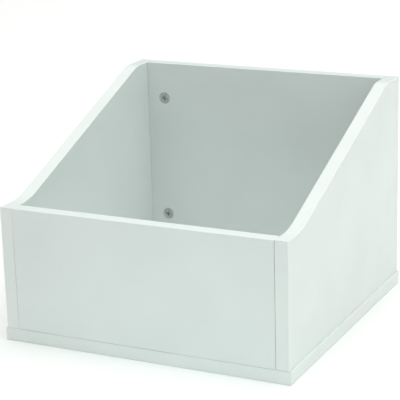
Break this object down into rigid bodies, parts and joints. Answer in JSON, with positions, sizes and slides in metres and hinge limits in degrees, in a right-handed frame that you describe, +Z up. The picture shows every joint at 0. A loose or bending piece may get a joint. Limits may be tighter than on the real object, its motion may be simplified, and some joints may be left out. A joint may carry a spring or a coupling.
{
  "type": "record storage box",
  "caption": "Open-topped white board box for standing record sleeves, low front, high back and sides that sweep up between them, held by cam locks, dowels and screws.",
  "frame": {"origin": "middle of the underside, on the surface that the box stands on", "axes": "+Z up, the low front faces -Y, +X to the right as seen from the front"},
  "size_m": [0.364, 0.36, 0.27],
  "materials": {
    "white_board": "satin white melamine on chipboard",
    "white_edge_band": "satin white plastic edging",
    "zinc_cam": "bright zinc casting",
    "steel_bolt": "zinc-plated steel",
    "beech_dowel": "raw beech",
    "steel_screw": "zinc-plated steel"
  },
  "bodies": {
    "box": {"base_panel": "white_board", "front_panel": "white_board", "back_panel": "white_board", "left_side_panel": "white_board", "right_side_panel": "white_board", "base_front_edge_band": "white_edge_band", "base_back_edge_band": "white_edge_band", "base_left_edge_band": "white_edge_band", "base_right_edge_band": "white_edge_band", "front_panel_top_edge_band": "white_edge_band", "back_panel_top_edge_band": "white_edge_band", "left_side_front_edge_band": "white_edge_band", "left_side_top_edge_band": "white_edge_band", "left_side_back_edge_band": "white_edge_band", "right_side_front_edge_band": "white_edge_band", "right_side_top_edge_band": "white_edge_band", "right_side_back_edge_band": "white_edge_band", "front_cam_bolts": "steel_bolt", "back_cam_bolts": "steel_bolt", "front_dowels": "beech_dowel", "back_dowels": "beech_dowel", "base_dowels": "beech_dowel", "base_screws": "steel_screw"},
    "front_left_lower_cam": {"front_left_lower_cam": "zinc_cam"},
    "front_left_upper_cam": {"front_left_upper_cam": "zinc_cam"},
    "front_right_lower_cam": {"front_right_lower_cam": "zinc_cam"},
    "front_right_upper_cam": {"front_right_upper_cam": "zinc_cam"},
    "back_left_lower_cam": {"back_left_lower_cam": "zinc_cam"},
    "back_left_upper_cam": {"back_left_upper_cam": "zinc_cam"},
    "back_right_lower_cam": {"back_right_lower_cam": "zinc_cam"},
    "back_right_upper_cam": {"back_right_upper_cam": "zinc_cam"}
  },
  "joints": [
    {"name": "front_left_lower_cam_turn", "type": "hinge", "parent": "box", "child": "front_left_lower_cam", "pos_m": [-0.14, -0.1642, 0.058], "axis": [0, 1, 0], "range_deg": [0, 180]},
    {"name": "front_left_upper_cam_turn", "type": "hinge", "parent": "box", "child": "front_left_upper_cam", "pos_m": [-0.14, -0.1642, 0.122], "axis": [0, 1, 0], "range_deg": [0, 180]},
    {"name": "front_right_lower_cam_turn", "type": "hinge", "parent": "box", "child": "front_right_lower_cam", "pos_m": [0.14, -0.1642, 0.058], "axis": [0, 1, 0], "range_deg": [0, 180]},
    {"name": "front_right_upper_cam_turn", "type": "hinge", "parent": "box", "child": "front_right_upper_cam", "pos_m": [0.14, -0.1642, 0.122], "axis": [0, 1, 0], "range_deg": [0, 180]},
    {"name": "back_left_lower_cam_turn", "type": "hinge", "parent": "box", "child": "back_left_lower_cam", "pos_m": [-0.14, 0.1642, 0.063], "axis": [0, -1, 0], "range_deg": [0, 180]},
    {"name": "back_left_upper_cam_turn", "type": "hinge", "parent": "box", "child": "back_left_upper_cam", "pos_m": [-0.14, 0.1642, 0.223], "axis": [0, -1, 0], "range_deg": [0, 180]},
    {"name": "back_right_lower_cam_turn", "type": "hinge", "parent": "box", "child": "back_right_lower_cam", "pos_m": [0.14, 0.1642, 0.063], "axis": [0, -1, 0], "range_deg": [0, 180]},
    {"name": "back_right_upper_cam_turn", "type": "hinge", "parent": "box", "child": "back_right_upper_cam", "pos_m": [0.14, 0.1642, 0.223], "axis": [0, -1, 0], "range_deg": [0, 180]}
  ]
}
